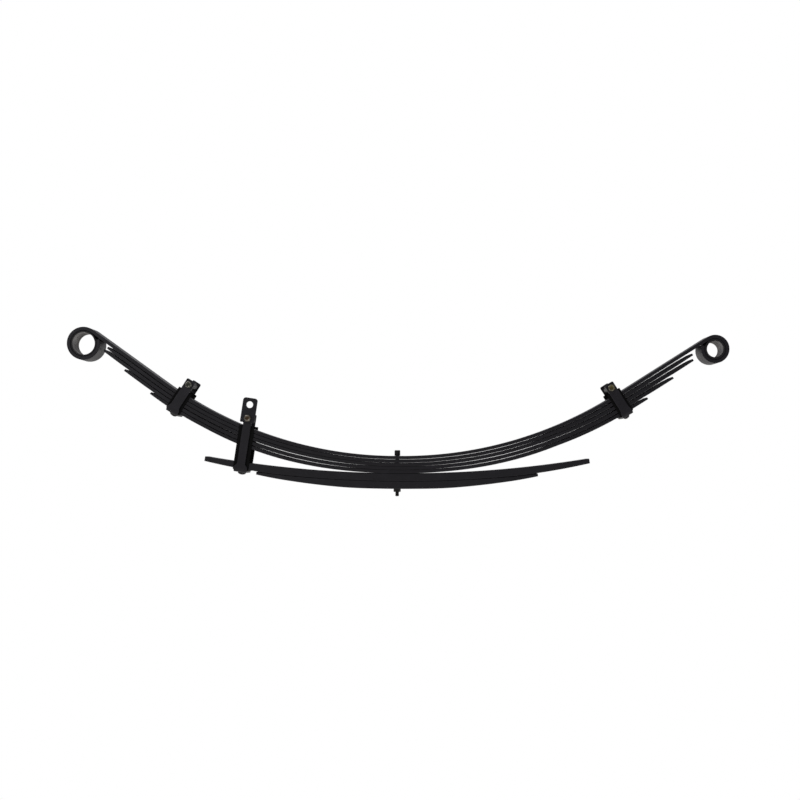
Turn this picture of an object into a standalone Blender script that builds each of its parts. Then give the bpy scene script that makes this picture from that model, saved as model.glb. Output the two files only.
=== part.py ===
"""Leaf spring with two rolled eyes: five main leaves, two overload leaves, a centre bolt and three clips.

Metres, +Z up. +X runs along the leaves towards the rear eye and +Y runs across them. The origin is on the
centre bolt's axis, on the top face of the main leaf, where the axle pad sits.
"""

import math

import bmesh
import bpy
from mathutils import Matrix, Vector

MM = 0.001

# Leaves
LEAF_WIDTH = 60 * MM
LEAF_THICKNESS = 7 * MM
SEAT_HALF = 20 * MM  # half the length of the flat on each leaf at the centre bolt
SEAT_SPLIT = 8 * MM  # from the centre bolt to the first section, just clear of its head and nut
SEAT_LIFT = 0.03 * MM  # the seat's outer strips tilt by this much, so that each is a face of its own
ARC_START = 6 * MM  # where each half's arc, drawn on into the flat, would become level
TOUCH_GAP = 0.3 * MM  # between two pieces that touch
MAIN_STEP = 22 * MM  # between stations along a main leaf
TIP_TRIM = 4 * MM  # taken off each side of a leaf at its tip
TIP_TRIM_LENGTH = 75 * MM
TIP_SQUARE_LENGTH = 25 * MM  # the last stretch, with parallel sides
TIP_TAPER_LENGTH = 45 * MM
TIP_TAPER = 1 * MM  # taken off the underside at the tip
TIP_DROP_LENGTH = 22 * MM
TIP_DROP = 1.4 * MM  # taken off the top face at the tip
SPREAD_TO = 640 * MM
# More daylight between leaves towards their tips, front and rear: the station where it starts, and how much
TIP_SPREAD = ((400 * MM, 1.5 * MM), (330 * MM, 3 * MM))

# Eyes
EYE_CLOSING_GAP = 0.6 * MM  # between the rolled end and the leaf's underside
EYE_STEP = math.radians(7.5)

# Overload leaves
OVERLOAD_RADIUS = 2.35
OVERLOAD_THICKNESS = 16 * MM
OVERLOAD_STEP = 30 * MM
OVERLOAD_SPREAD = 0.5 * MM  # daylight between the two overload leaves at the lower one's tips
OVERLOAD_SPREAD_FROM = 60 * MM
OVERLOAD_TRIM_LENGTH = 50 * MM
OVERLOAD_SQUARE_LENGTH = 10 * MM
UPPER_OVERLOAD_TIP = 402 * MM
UPPER_OVERLOAD_TAPER, UPPER_OVERLOAD_TAPER_FROM = 6 * MM, 240 * MM
LOWER_OVERLOAD_TIP = 292 * MM
LOWER_OVERLOAD_TAPER, LOWER_OVERLOAD_TAPER_FROM = 10 * MM, 90 * MM

# Centre bolt
BOLT_RADIUS = 4 * MM
HOLE_CLEARANCE = 0.4 * MM
THROUGH_DRILL = 400 * MM  # cutter lengths
SIDE_DRILL = 200 * MM
BASE_DRILL = 20 * MM
THREAD_GAP = 0.15 * MM
HEX_HALF_FLATS = 6.5 * MM
DOWEL_HEAD_RADIUS = 6 * MM
DOWEL_HEAD_HEIGHT = 12 * MM
CHAMFER = 1 * MM
NUT_HEIGHT = 6.6 * MM
THREAD_BELOW_NUT = 9 * MM

# Clips
STRAP_THICKNESS = 4 * MM
STRAP_INNER_HALF = 32.8 * MM  # from the middle of the leaves to a leg's inner face
STRAP_BEND = 2.5 * MM  # inner radius
STRAP_BASE_HALF = 12.5 * MM  # half the width under the leaves
LEG_HALF = 10 * MM  # half a leg's width
LONG_LEG_HALF = 8.5 * MM
LEG_NARROWS = 6 * MM, 14 * MM  # heights above the base between which the strap narrows to its legs
EAR_ABOVE_BOLT = 10.5 * MM
EAR_CORNER = 3 * MM
END_ANGLES = [math.radians(a) for a in (90, 68, 45, 22, 0)]
DOME_ANGLES = [math.radians(a) for a in (80, 60, 40, 20, 0)]  # from the top of a half round to its side
LINER_THICKNESS = 2 * MM
LINER_INNER_HALF = 30.4 * MM
LINER_BEND = 0.5 * MM
LINER_HALF_WIDTH = 15 * MM
LINER_ABOVE_LEAF = 9 * MM
CLIP_GAP = 0.6 * MM  # between the riveted leaf's curved underside and the liner's flat base
CLIP_HEAD_HEIGHT = 5.3 * MM
CLIP_NUT_HEIGHT = 6.5 * MM
CLIP_THREAD_END = 3 * MM
HEAD_CROWN = 0.5 * MM, 0.8 * MM  # inwards and down, round the top of a bolt's head
TUBE_OUTER = 7.3 * MM
TUBE_INNER = 4.3 * MM
RIVET_SHANK = 4 * MM
RIVET_HEAD = 7.5 * MM
RIVET_HEAD_HEIGHT = 5.5 * MM
RIVET_HEAD_EDGE = 0.8 * MM
RIVET_SHORT = 0.3 * MM  # from the riveted leaf's top face down to the shank's end
LONG_CLIP_STATION = 323.5 * MM
LONG_CLIP_BOLT = 92 * MM  # above the upper overload leaf's top face
LONG_LINER_TOP = 77 * MM
BRACKET_HOLE_ABOVE_BOLT = 28.5 * MM
BRACKET_BELOW_BOLT = 9 * MM
BRACKET_HALF_WIDTH = 15 * MM
BRACKET_THICKNESS = 4 * MM
BRACKET_HOLE_RADIUS = 7 * MM
BRACKET_ABOVE_HOLE = 14 * MM
BRACKET_CORNER = 6 * MM
BRACKET_LEAN = 0.03 * MM  # how far its outer face sets back over the plain stretch, a face of its own
BRACKET_CLEAR = 9 * MM  # from each of its holes to the plain stretch between them

# Flexing
FLEX_STATION = 180 * MM  # from the centre bolt to the line that each arm turns about
ROUND_STEPS = 24


def ramp(value, start, end):
    return min(max((value - start) / (end - start), 0), 1)


class Arm:
    """One half of a leaf's top face seen from the side: a flat seat, an arc and a straight end.

    A station is a distance along that face from the centre bolt. Depth is measured down from it.
    """

    def __init__(self, sign, radius, bend=math.pi / 2, drop=0.0):
        self.sign, self.radius, self.bend, self.drop = sign, radius, bend, drop

    def slope(self, station):
        return min(max(station - ARC_START, 0) / self.radius, self.bend)

    def point(self, station, depth=0.0):
        if station <= SEAT_HALF:
            lift = SEAT_LIFT * ramp(station, SEAT_SPLIT, SEAT_HALF)
            return Vector((self.sign * station, 0, lift - depth - self.drop))
        turned = self.slope(station)
        straight = max(0, station - ARC_START - self.radius * self.bend)
        along = ARC_START + self.radius * math.sin(turned)
        along += straight * math.cos(turned) + depth * math.sin(turned)
        up = self.radius * (1 - math.cos(turned)) + straight * math.sin(turned)
        return Vector((self.sign * along, 0, up - depth * math.cos(turned) - self.drop))

    def frame(self, station, depth=0.0):
        """Axes at a point of the leaf: X along it towards +X, Z out of its top face."""
        turn = Matrix.Rotation(-self.sign * self.slope(station), 4, "Y")
        return Matrix.Translation(self.point(station, depth)) @ turn


class Eye:
    """The rolled end of the main leaf, turned down: its top is level with the leaf's top face."""

    def __init__(self, arm, station, outer, bush_bore):
        self.arm, self.station, self.outer, self.bush_bore = arm, station, outer, bush_bore
        self.inner = outer - LEAF_THICKNESS
        self.centre = arm.point(station, outer)
        rise = (LEAF_THICKNESS + EYE_CLOSING_GAP) / outer
        self.sweep = math.tau - math.acos(1 - rise)

    def section(self, turned):
        slope = self.arm.slope(self.station)
        angle = math.pi / 2 + slope - turned
        ray = Vector((self.arm.sign * math.cos(angle), 0, math.sin(angle)))
        return self.centre + ray * self.outer, self.centre + ray * self.inner


FRONT = Arm(-1, 832 * MM, math.radians(35.5))
REAR = Arm(1, 840 * MM, math.radians(32.6))
FRONT_EYE = Eye(FRONT, 700 * MM, 34.4 * MM, 23.4 * MM)
REAR_EYE = Eye(REAR, 705 * MM, 29.5 * MM, 17 * MM)

# Small clips: name, eye of the same arm, station, tube's axis above the main leaf's top face
SMALL_CLIPS = (
    ("front_clip", FRONT_EYE, 469 * MM, 23.2 * MM),
    ("rear_clip", REAR_EYE, 477.5 * MM, 17.8 * MM),
)

# Shorter main leaves: name, stations of its front and rear tips, daylight above it half way to each
MAIN_LEAVES = (
    ("second_leaf", (655 * MM, 660 * MM), (0.5 * MM, 0.7 * MM)),
    ("third_leaf", (658 * MM, 655 * MM), (0.5 * MM, 0.7 * MM)),
    ("fourth_leaf", (599 * MM, 600 * MM), (1.8 * MM, 1.2 * MM)),
    ("fifth_leaf", (527 * MM, 532 * MM), (1.6 * MM, 1.2 * MM)),
)


def leaf_gap(station, tip, daylight, spread):
    """Leaves touch at the centre bolt, bow apart on the way out, and are held a little apart at the tips."""
    start, most = spread
    near_tip = most * ramp(station, start, SPREAD_TO)
    return TOUCH_GAP + daylight * math.sin(math.pi * min(station / tip, 1)) ** 2 + near_tip


def main_depth(index, station, side):
    """Depth of a main leaf's top face below the main leaf's own, where index 0 is the second leaf."""
    gaps = (
        leaf_gap(station, tips[side], daylight[side], TIP_SPREAD[side])
        for _, tips, daylight in MAIN_LEAVES[: index + 1]
    )
    return sum(LEAF_THICKNESS + gap for gap in gaps)


def tip_half_width(station, tip):
    start = tip - TIP_SQUARE_LENGTH - TIP_TRIM_LENGTH
    return LEAF_WIDTH / 2 - TIP_TRIM * ramp(station, start, tip - TIP_SQUARE_LENGTH)


def stations(tip, step, finer_from):
    """From the seat to the tip, closer together over the tapered end."""
    count = max(1, round((finer_from - SEAT_HALF) / step))
    coarse = [SEAT_HALF + (finer_from - SEAT_HALF) * n / count for n in range(count)]
    return [SEAT_SPLIT] + coarse + [finer_from + (tip - finer_from) * n / 6 for n in range(7)]


# Materials: base colour, roughness, metallic
FINISHES = {
    "spring_paint": ((0.018, 0.017, 0.021), 0.42, 0.0),
    "clip_paint": ((0.024, 0.023, 0.028), 0.45, 0.0),
    "liner_rubber": ((0.008, 0.008, 0.008), 0.85, 0.0),
    "bush_steel": ((0.35, 0.33, 0.29), 0.4, 0.9),
    "zinc_plate": ((0.62, 0.56, 0.36), 0.3, 1.0),
    "dark_steel": ((0.03, 0.03, 0.033), 0.4, 0.6),
}


def make_materials():
    made = {}
    for name, (colour, roughness, metallic) in FINISHES.items():
        material = bpy.data.materials.new(name)
        material.use_nodes = True
        shader = material.node_tree.nodes["Principled BSDF"]
        shader.inputs["Base Color"].default_value = (*colour, 1)
        shader.inputs["Roughness"].default_value = roughness
        shader.inputs["Metallic"].default_value = metallic
        made[name] = material
    return made


def empty(name, parent, matrix):
    """An empty with a place relative to its parent. It carries what moves or is fixed together."""
    made = bpy.data.objects.new(name, None)
    bpy.context.scene.collection.objects.link(made)
    made.parent = parent
    made.matrix_basis = matrix
    return made


def solid(name, loops, finish, parent=None, matrix=None, closed=False):
    """A closed mesh through loops of points, each with as many points as the next.

    A closed stack joins its last loop to its first, as a ring does. Any other gets a cap at both ends.
    """
    mesh = bpy.data.meshes.new(name)
    shape = bmesh.new()
    rings = [[shape.verts.new(point) for point in loop] for loop in loops]
    for ring, following in zip(rings, rings[1:] + rings[:1] if closed else rings[1:]):
        for n in range(len(ring)):
            m = (n + 1) % len(ring)
            shape.faces.new((ring[n], ring[m], following[m], following[n]))
    if not closed:
        shape.faces.new(rings[0][::-1])
        shape.faces.new(rings[-1])
    bmesh.ops.recalc_face_normals(shape, faces=shape.faces)
    shape.to_mesh(mesh)
    shape.free()
    mesh.shade_smooth()
    mesh.set_sharp_from_angle(angle=math.radians(35))
    mesh.materials.append(MATERIALS[finish])
    made = bpy.data.objects.new(name, mesh)
    bpy.context.scene.collection.objects.link(made)
    made.parent = parent
    made.matrix_basis = matrix or Matrix.Identity(4)
    return made


def flat_loop(top, bottom, half_width):
    """A leaf's cross-section: two points on its top face and two on its underside."""
    across = Vector((0, half_width, 0))
    return [top - across, top + across, bottom + across, bottom - across]


def round_loop(radius, height):
    angles = [math.tau * n / ROUND_STEPS for n in range(ROUND_STEPS)]
    return [Vector((radius * math.cos(a), radius * math.sin(a), height)) for a in angles]


def hex_loop(half_flats, height):
    """A hexagon's outline, with as many points as a round loop."""
    points = []
    for n in range(ROUND_STEPS):
        angle = math.tau * n / ROUND_STEPS
        reach = half_flats / math.cos((angle % (math.tau / 6)) - math.tau / 12)
        points.append(Vector((reach * math.cos(angle), reach * math.sin(angle), height)))
    return points


def tube(name, outer, inner, length, finish, parent, matrix, loop=round_loop):
    """A ring or a nut along its own Z, centred on its origin."""
    low, high = -length / 2, length / 2
    loops = [loop(outer, low), loop(outer, high), round_loop(inner, high), round_loop(inner, low)]
    return solid(name, loops, finish, parent, matrix, closed=True)


def drill(target, radius, length, parent, matrix):
    """Cuts a round hole along the cutter's own Z."""
    loops = [round_loop(radius, -length / 2), round_loop(radius, length / 2)]
    cutter = solid(target.name + "_cutter", loops, "dark_steel", parent, matrix)
    cutter.hide_render = True
    cutter.display_type = "WIRE"
    cut = target.modifiers.new("hole", "BOOLEAN")
    cut.operation = "DIFFERENCE"
    cut.solver = "EXACT"
    cut.object = cutter


def drill_centre(leaf):
    drill(leaf, BOLT_RADIUS + HOLE_CLEARANCE, THROUGH_DRILL, None, Matrix.Identity(4))


def make_main_leaf():
    loops = []
    for eye in (FRONT_EYE, REAR_EYE):
        arm, half = eye.arm, LEAF_WIDTH / 2
        count = round(eye.sweep / EYE_STEP)
        rolled = [flat_loop(*eye.section(eye.sweep * n / count), half) for n in range(count, 0, -1)]
        along = stations(eye.station, MAIN_STEP, eye.station - 6 * MAIN_STEP)[::-1]
        straight = [flat_loop(arm.point(s), arm.point(s, LEAF_THICKNESS), half) for s in along]
        # Both halves are listed from the eye inwards, so the rear one is turned round.
        loops += rolled + straight if eye is FRONT_EYE else (rolled + straight)[::-1]
    drill_centre(solid("main_leaf", loops, "spring_paint"))


def make_short_leaf(index):
    name, tips, _ = MAIN_LEAVES[index]
    halves = []
    for side, (arm, tip) in enumerate(zip((FRONT, REAR), tips)):
        half = []
        for s in stations(tip, MAIN_STEP, tip - TIP_SQUARE_LENGTH - TIP_TRIM_LENGTH):
            depth = main_depth(index, s, side)
            thin = TIP_TAPER * ramp(s, tip - TIP_TAPER_LENGTH, tip)
            drop = TIP_DROP * ramp(s, tip - TIP_DROP_LENGTH, tip)
            top, bottom = arm.point(s, depth + drop), arm.point(s, depth + LEAF_THICKNESS - thin)
            half.append(flat_loop(top, bottom, tip_half_width(s, tip)))
        halves.append(half)
    leaf = solid(name, halves[0][::-1] + halves[1], "spring_paint")
    drill_centre(leaf)
    return leaf


def upper_overload_thickness(station):
    """Even over its middle, then thinner towards its tips."""
    along = ramp(station, UPPER_OVERLOAD_TAPER_FROM, UPPER_OVERLOAD_TIP)
    return OVERLOAD_THICKNESS - UPPER_OVERLOAD_TAPER * along**1.6


def lower_overload_thickness(station):
    along = ramp(station, LOWER_OVERLOAD_TAPER_FROM, LOWER_OVERLOAD_TIP)
    return OVERLOAD_THICKNESS - LOWER_OVERLOAD_TAPER * along**1.35


def lower_overload_depth(station):
    spread = OVERLOAD_SPREAD * ramp(station, OVERLOAD_SPREAD_FROM, LOWER_OVERLOAD_TIP) ** 2
    return upper_overload_thickness(station) + TOUCH_GAP + spread


PACK_DEPTH = main_depth(3, 0, 0) + LEAF_THICKNESS
OVERLOAD_ARMS = [Arm(sign, OVERLOAD_RADIUS, drop=PACK_DEPTH + TOUCH_GAP) for sign in (-1, 1)]


def make_overload_leaf(name, tip, depth_at, thickness_at):
    halves = []
    for arm in OVERLOAD_ARMS:
        half = []
        trim_to = tip - OVERLOAD_SQUARE_LENGTH
        trim_from = trim_to - OVERLOAD_TRIM_LENGTH
        for s in stations(tip, OVERLOAD_STEP, trim_from):
            depth = depth_at(s)
            top, bottom = arm.point(s, depth), arm.point(s, depth + thickness_at(s))
            width = LEAF_WIDTH / 2 - TIP_TRIM * ramp(s, trim_from, trim_to)
            half.append(flat_loop(top, bottom, width))
        halves.append(half)
    leaf = solid(name, halves[0][::-1] + halves[1], "spring_paint")
    drill_centre(leaf)
    return leaf


def make_centre_bolt():
    stack = PACK_DEPTH + TOUCH_GAP + lower_overload_depth(0) + OVERLOAD_THICKNESS
    nut_top = -stack - TOUCH_GAP
    end = nut_top - NUT_HEIGHT - THREAD_BELOW_NUT
    loops = [
        round_loop(DOWEL_HEAD_RADIUS - CHAMFER, DOWEL_HEAD_HEIGHT),
        round_loop(DOWEL_HEAD_RADIUS, DOWEL_HEAD_HEIGHT - CHAMFER),
        round_loop(DOWEL_HEAD_RADIUS, TOUCH_GAP),
        round_loop(BOLT_RADIUS, TOUCH_GAP),
        round_loop(BOLT_RADIUS, end + CHAMFER),
        round_loop(BOLT_RADIUS - CHAMFER, end),
    ]
    solid("centre_bolt", loops, "dark_steel")
    middle = Matrix.Translation((0, 0, nut_top - NUT_HEIGHT / 2))
    hole = BOLT_RADIUS + THREAD_GAP
    tube("centre_nut", HEX_HALF_FLATS, hole, NUT_HEIGHT, "dark_steel", None, middle, hex_loop)


def rounded_end(top, half, corner):
    """(height, half width) down a strip's rounded end, from its top."""
    return [(top - corner + corner * math.sin(a), half - corner + corner * math.cos(a)) for a in END_ANGLES]


def make_strap(name, place, finish, base_depth, top, bend, legs, widths, corner=0.0):
    """A flat strip bent to a U under the leaves.

    Its base's inner face is at -base_depth and its legs go up to top. legs is how far a leg's inner and outer
    faces are from the middle, and widths are half the leg's and half the base's. corner rounds the ends.
    """
    inner_half, outer_half = legs
    leg_half, base_half = widths
    leg = [(top, leg_half)]
    if corner:
        leg = rounded_end(top, leg_half, corner)
    low, high = LEG_NARROWS
    leg += [(-base_depth + high, leg_half), (-base_depth + low, base_half)]
    sections = []  # (inner point, outer point, half width) down the near leg and up the far one
    for side in (-1, 1):
        rows = [((side * inner_half, z), (side * outer_half, z), width) for z, width in leg]
        for degrees in range(0, 91, 30):
            c, s = math.cos(math.radians(degrees)), math.sin(math.radians(degrees))
            corner = [
                (side * (inner_half - bend + r * c), -base_depth + bend - r * s)
                for r in (bend, bend + outer_half - inner_half)
            ]
            rows.append((*corner, base_half))
        sections += rows if side == -1 else rows[::-1]
    loops = []
    for inner, outer, half in sections:
        corners = ((-half, inner), (half, inner), (half, outer), (-half, outer))
        loops.append([Vector((x, y, z)) for x, (y, z) in corners])
    return solid(name, loops, finish, place)


def make_clip(name, parent, frame, leaf_depth, bolt_height, liner_top, leg_half, plate=0.0):
    """A riveted U strap with a rubber liner, closed over the leaves by a bolt that carries a loose tube.

    The frame has Z out of the leaves. leaf_depth is the riveted leaf's underside, and plate is the
    thickness of anything clamped under the bolt's head.
    """
    place = empty(name + "_place", parent, frame)
    liner_base = leaf_depth + CLIP_GAP
    strap_base = liner_base + LINER_THICKNESS + TOUCH_GAP
    top = bolt_height + EAR_ABOVE_BOLT
    liner_legs = LINER_INNER_HALF, LINER_INNER_HALF + LINER_THICKNESS
    liner_widths = LINER_HALF_WIDTH, LINER_HALF_WIDTH
    liner = make_strap(
        name + "_liner", place, "liner_rubber", liner_base, liner_top, LINER_BEND, liner_legs, liner_widths
    )
    strap_legs = STRAP_INNER_HALF, STRAP_INNER_HALF + STRAP_THICKNESS
    widths = leg_half, STRAP_BASE_HALF
    strap = make_strap(
        name + "_strap", place, "clip_paint", strap_base, top, STRAP_BEND, strap_legs, widths, EAR_CORNER
    )

    across = Matrix.Translation((0, 0, bolt_height)) @ Matrix.Rotation(math.pi / 2, 4, "X")
    drill(strap, BOLT_RADIUS + HOLE_CLEARANCE, SIDE_DRILL, place, across)
    outside = STRAP_INNER_HALF + STRAP_THICKNESS + TOUCH_GAP
    under_head = outside + (plate + TOUCH_GAP if plate else 0)
    head_top = under_head + CLIP_HEAD_HEIGHT
    end = -outside - CLIP_NUT_HEIGHT - CLIP_THREAD_END
    inward, down = HEAD_CROWN
    loops = [
        round_loop(HEX_HALF_FLATS - inward, head_top),
        hex_loop(HEX_HALF_FLATS, head_top - down),
        hex_loop(HEX_HALF_FLATS, under_head),
        round_loop(BOLT_RADIUS, under_head),
        round_loop(BOLT_RADIUS, end + CHAMFER),
        round_loop(BOLT_RADIUS - CHAMFER, end),
    ]
    solid(name + "_bolt", loops, "zinc_plate", place, across)
    nut_place = across @ Matrix.Translation((0, 0, -outside - CLIP_NUT_HEIGHT / 2))
    nut_hole, zinc = BOLT_RADIUS + THREAD_GAP, "zinc_plate"
    tube(name + "_nut", HEX_HALF_FLATS, nut_hole, CLIP_NUT_HEIGHT, zinc, place, nut_place, hex_loop)
    tube_length = 2 * (STRAP_INNER_HALF - TOUCH_GAP)
    tube(name + "_tube", TUBE_OUTER, TUBE_INNER, tube_length, "dark_steel", place, across)

    base = Matrix.Translation((0, 0, -strap_base))
    for target in (liner, strap):
        drill(target, RIVET_SHANK + HOLE_CLEARANCE, BASE_DRILL, place, base)
    return place, strap_base + STRAP_THICKNESS


def make_rivet(name, place, strap_bottom, shank_top):
    """A domed head under the strap and a shank that ends just below the riveted leaf's top face."""
    head = -strap_bottom - TOUCH_GAP
    edge, rise = head - RIVET_HEAD_EDGE, RIVET_HEAD_HEIGHT - RIVET_HEAD_EDGE
    loops = [round_loop(RIVET_HEAD * math.cos(a), edge - rise * math.sin(a)) for a in DOME_ANGLES]
    loops += [round_loop(RIVET_HEAD, head), round_loop(RIVET_SHANK, head)]
    solid(name, loops + [round_loop(RIVET_SHANK, shank_top)], "dark_steel", place)


def make_small_clip(side, pivot, pivot_place, fifth_leaf):
    name, eye, station, tube_height = SMALL_CLIPS[side]
    frame = eye.arm.frame(station)
    fifth_top = main_depth(3, station, side)
    leaf_depth = fifth_top + LEAF_THICKNESS
    local = pivot_place.inverted() @ frame
    place, bottom = make_clip(name, pivot, local, leaf_depth, tube_height, LINER_ABOVE_LEAF, LEG_HALF)
    make_rivet(name + "_rivet", place, bottom, -RIVET_SHORT - fifth_top)
    underside = frame @ Matrix.Translation((0, 0, -leaf_depth))
    drill(fifth_leaf, RIVET_SHANK + HOLE_CLEARANCE, BASE_DRILL, None, underside)


def make_long_clip(upper_overload):
    frame = OVERLOAD_ARMS[0].frame(LONG_CLIP_STATION)
    leaf_depth = upper_overload_thickness(LONG_CLIP_STATION)
    place, bottom = make_clip(
        "long_clip", None, frame, leaf_depth, LONG_CLIP_BOLT, LONG_LINER_TOP, LONG_LEG_HALF, BRACKET_THICKNESS
    )
    make_rivet("long_clip_rivet", place, bottom, -RIVET_SHORT)
    underside = frame @ Matrix.Translation((0, 0, -leaf_depth))
    drill(upper_overload, RIVET_SHANK + HOLE_CLEARANCE, BASE_DRILL + leaf_depth, None, underside)
    make_bracket(place)


def make_bracket(place):
    """A plate with a rounded end and a hole, clamped under the long clip's bolt head."""
    hole = LONG_CLIP_BOLT + BRACKET_HOLE_ABOVE_BOLT
    inner = -(STRAP_INNER_HALF + STRAP_THICKNESS + TOUCH_GAP)
    outer = inner - BRACKET_THICKNESS
    lean_from, lean_to = LONG_CLIP_BOLT + BRACKET_CLEAR, hole - BRACKET_CLEAR
    heights = LONG_CLIP_BOLT - BRACKET_BELOW_BOLT, lean_from, lean_to
    rows = [(height, BRACKET_HALF_WIDTH) for height in heights]
    rows += rounded_end(hole + BRACKET_ABOVE_HOLE, BRACKET_HALF_WIDTH, BRACKET_CORNER)[::-1]
    loops = []
    for z, w in rows:
        face = outer + BRACKET_LEAN * ramp(z, lean_from, lean_to)
        corners = ((-w, inner), (w, inner), (w, face), (-w, face))
        loops.append([Vector((x, y, z)) for x, y in corners])
    plate = solid("cable_bracket", loops, "clip_paint", place)
    for height, radius in ((LONG_CLIP_BOLT, BOLT_RADIUS + HOLE_CLEARANCE), (hole, BRACKET_HOLE_RADIUS)):
        across = Matrix.Translation((0, 0, height)) @ Matrix.Rotation(math.pi / 2, 4, "X")
        drill(plate, radius, SIDE_DRILL, place, across)


def make_bush(name, eye, pivot, pivot_place):
    """The steel bush pressed into an eye, flush with the leaf's edges."""
    upright = Matrix.Translation(eye.centre) @ Matrix.Rotation(math.pi / 2, 4, "X")
    local = pivot_place.inverted() @ upright
    tube(name, eye.inner - TOUCH_GAP, eye.bush_bore, LEAF_WIDTH, "bush_steel", pivot, local)


for old in list(bpy.data.objects):
    bpy.data.objects.remove(old)
MATERIALS = make_materials()

make_main_leaf()
short_leaves = [make_short_leaf(index) for index in range(len(MAIN_LEAVES))]
upper_overload = make_overload_leaf(
    "upper_overload_leaf", UPPER_OVERLOAD_TIP, lambda s: 0.0, upper_overload_thickness
)
make_overload_leaf("lower_overload_leaf", LOWER_OVERLOAD_TIP, lower_overload_depth, lower_overload_thickness)
make_centre_bolt()
make_long_clip(upper_overload)
for side, (end, eye) in enumerate((("front", FRONT_EYE), ("rear", REAR_EYE))):
    pivot_place = Matrix.Translation(eye.arm.point(FLEX_STATION, PACK_DEPTH / 2))
    pivot = empty(end + "_arm_pivot", None, pivot_place)
    make_bush(end + "_eye_bush", eye, pivot, pivot_place)
    make_small_clip(side, pivot, pivot_place, short_leaves[-1])
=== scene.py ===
# %% [markdown]
# # A leaf spring, finished piece by piece
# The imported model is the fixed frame: every node is already in its place, in metres, with +X towards the rear
# eye, +Y across the leaves and +Z out of the main leaf's top. Each piece below is made again from the size
# and place of its node, with the rounded edges, bends, threads and paint that the plain solids leave out.

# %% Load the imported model
import math

import bmesh
import bpy
from mathutils import Matrix, Vector


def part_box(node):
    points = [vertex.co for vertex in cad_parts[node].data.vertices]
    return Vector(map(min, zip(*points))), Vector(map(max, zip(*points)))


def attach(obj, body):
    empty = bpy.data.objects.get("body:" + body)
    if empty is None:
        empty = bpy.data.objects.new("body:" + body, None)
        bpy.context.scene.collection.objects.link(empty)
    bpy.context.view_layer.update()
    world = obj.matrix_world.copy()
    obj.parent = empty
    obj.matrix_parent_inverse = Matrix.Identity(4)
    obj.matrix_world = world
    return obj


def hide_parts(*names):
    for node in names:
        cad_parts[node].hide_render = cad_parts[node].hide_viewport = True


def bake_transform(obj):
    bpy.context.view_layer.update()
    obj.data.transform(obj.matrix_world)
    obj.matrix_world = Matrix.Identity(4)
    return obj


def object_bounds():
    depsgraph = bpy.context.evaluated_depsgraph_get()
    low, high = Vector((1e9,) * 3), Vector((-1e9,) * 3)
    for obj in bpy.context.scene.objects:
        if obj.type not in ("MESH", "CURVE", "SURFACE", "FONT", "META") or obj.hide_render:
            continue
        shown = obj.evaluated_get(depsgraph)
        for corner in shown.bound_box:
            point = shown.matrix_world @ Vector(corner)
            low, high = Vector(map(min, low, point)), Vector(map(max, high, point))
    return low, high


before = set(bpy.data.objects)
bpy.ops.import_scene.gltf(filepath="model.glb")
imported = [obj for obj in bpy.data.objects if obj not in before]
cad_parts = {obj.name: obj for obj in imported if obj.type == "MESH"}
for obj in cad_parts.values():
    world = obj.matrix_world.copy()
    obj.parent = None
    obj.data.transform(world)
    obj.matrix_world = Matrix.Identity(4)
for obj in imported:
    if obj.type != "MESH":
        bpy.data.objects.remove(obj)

MM = 0.001
cad_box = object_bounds()
print("nodes:", len(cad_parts), "box:", [[round(v, 4) for v in corner] for corner in cad_box])

# %% [markdown]
# ## Camera
# A long spring shows best square on and from a few metres away, where its curve isn't distorted, so the
# camera has a long lens. It is rolled a little off level, and its shift slides the view instead of tilting
# the camera, which keeps upright edges parallel.

# %% Camera
CAMERA_PLACE = Vector((0.0414, -2.813, -0.0042))
CAMERA_ROLL = math.radians(0.35)
LENS_LENGTH = 60.2  # millimetres, for a sensor 36 mm wide
LENS_SHIFT = -0.0213, 0.0725


def make_camera():
    lens = bpy.data.cameras.new("front_view")
    lens.sensor_width = 36
    lens.lens = LENS_LENGTH
    lens.shift_x, lens.shift_y = LENS_SHIFT
    camera = bpy.data.objects.new("front_view", lens)
    level = Matrix.Rotation(math.radians(90), 4, "X") @ Matrix.Rotation(CAMERA_ROLL, 4, "Z")
    camera.matrix_world = Matrix.Translation(CAMERA_PLACE) @ level
    bpy.context.scene.collection.objects.link(camera)
    bpy.context.scene.camera = camera
    return camera


print("camera at", make_camera().location[:])

# %% [markdown]
# ## Light and floor
# Satin black shows little but reflections, so the light is a set of large soft shapes. The sweep behind the
# spring is bright, and shows as a pale sheen on faces seen at a low angle, such as the top of the main leaf.
# The side towards the viewer is dim, which keeps the side faces black. The floor and the room are white where
# the camera looks straight at them, and give a dimmer light to everything else.

# %% Light and floor
FLOOR_DROP = 0.55  # below the lowest point of the spring
ROOM_GLOW = 0.15
FLOOR_GLOW = 0.46
FLOOR_REACH = 30
PANELS = (  # name, place, target, size in metres, watts
    ("sweep", (0.0, 3.2, 1.2), (0, 0, 0.0), (7.0, 4.0), 26),
    ("overhead", (0.0, 0.5, 2.6), (0, 0, 0.1), (3.2, 1.6), 22),
    ("low_front", (-1.4, -2.6, 1.4), (0, 0, 0.1), (1.2, 0.6), 9),
)


def white_to_camera(tree, seen, otherwise, output):
    """Shows one shader to the camera and lets every other ray meet another."""
    rays = tree.nodes.new("ShaderNodeLightPath")
    either = tree.nodes.new("ShaderNodeMixShader")
    tree.links.new(rays.outputs["Is Camera Ray"], either.inputs["Fac"])
    tree.links.new(otherwise.outputs[0], either.inputs[1])
    tree.links.new(seen.outputs[0], either.inputs[2])
    tree.links.new(either.outputs[0], output.inputs["Surface"])


def glow_node(tree, kind, colour, strength):
    glow = tree.nodes.new(kind)
    glow.inputs["Color"].default_value = (*colour, 1)
    glow.inputs["Strength"].default_value = strength
    return glow


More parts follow.
